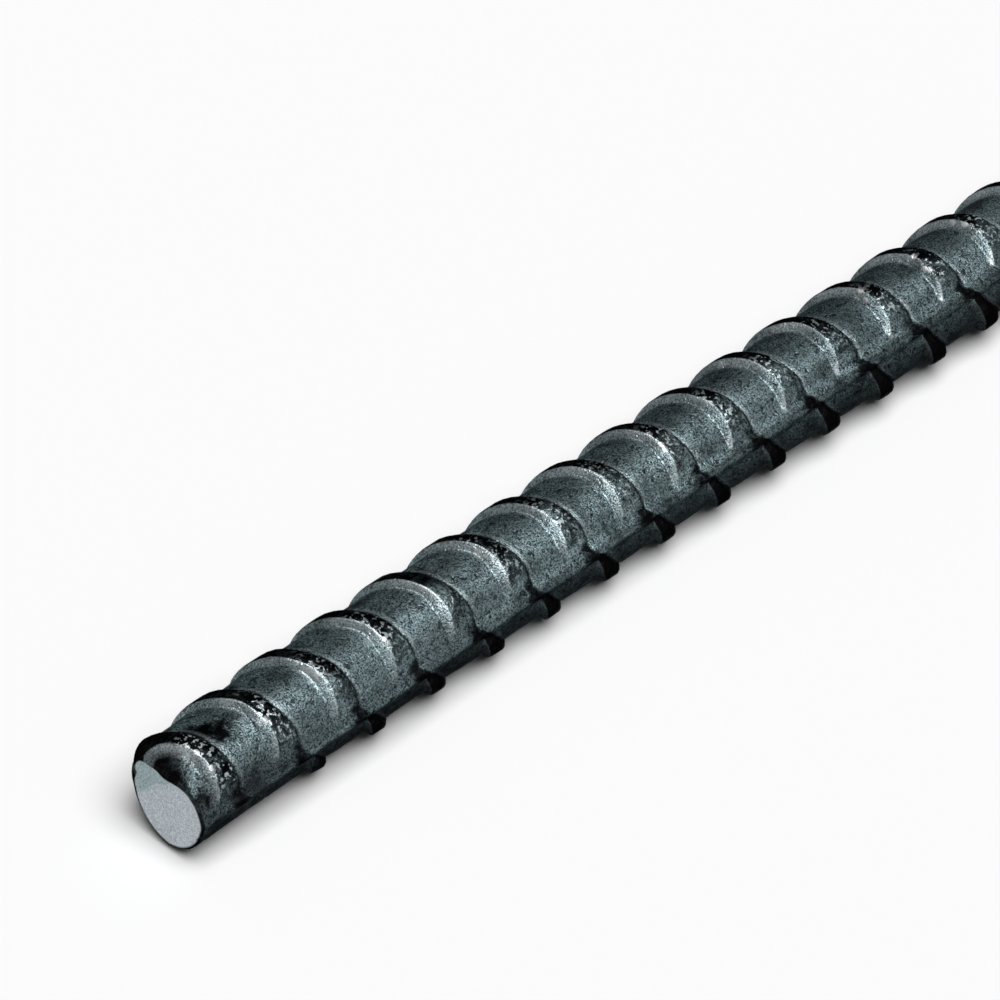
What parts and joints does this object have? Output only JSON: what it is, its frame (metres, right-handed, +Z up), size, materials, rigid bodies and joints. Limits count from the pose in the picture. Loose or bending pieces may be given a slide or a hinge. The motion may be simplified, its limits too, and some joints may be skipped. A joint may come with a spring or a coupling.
{
  "type": "reinforcing bar",
  "caption": "Straight length of deformed steel reinforcing bar: round core, lengthwise ribs that turn slowly round it, sheared ends, dark mill scale.",
  "frame": {"origin": "on the bar's axis at mid-length", "axes": "+X along the bar, away from the end where the lengthwise ribs lie level; +Z up, off the floor the bar lies on; +Y across it, level"},
  "size_m": [0.6096, 0.0136, 0.012],
  "materials": {
    "steel": "hot-rolled, under dark blue-grey mill scale; the sheared ends bare and paler"
  },
  "bodies": {
    "root": {"rebar": "steel"}
  },
  "joints": []
}
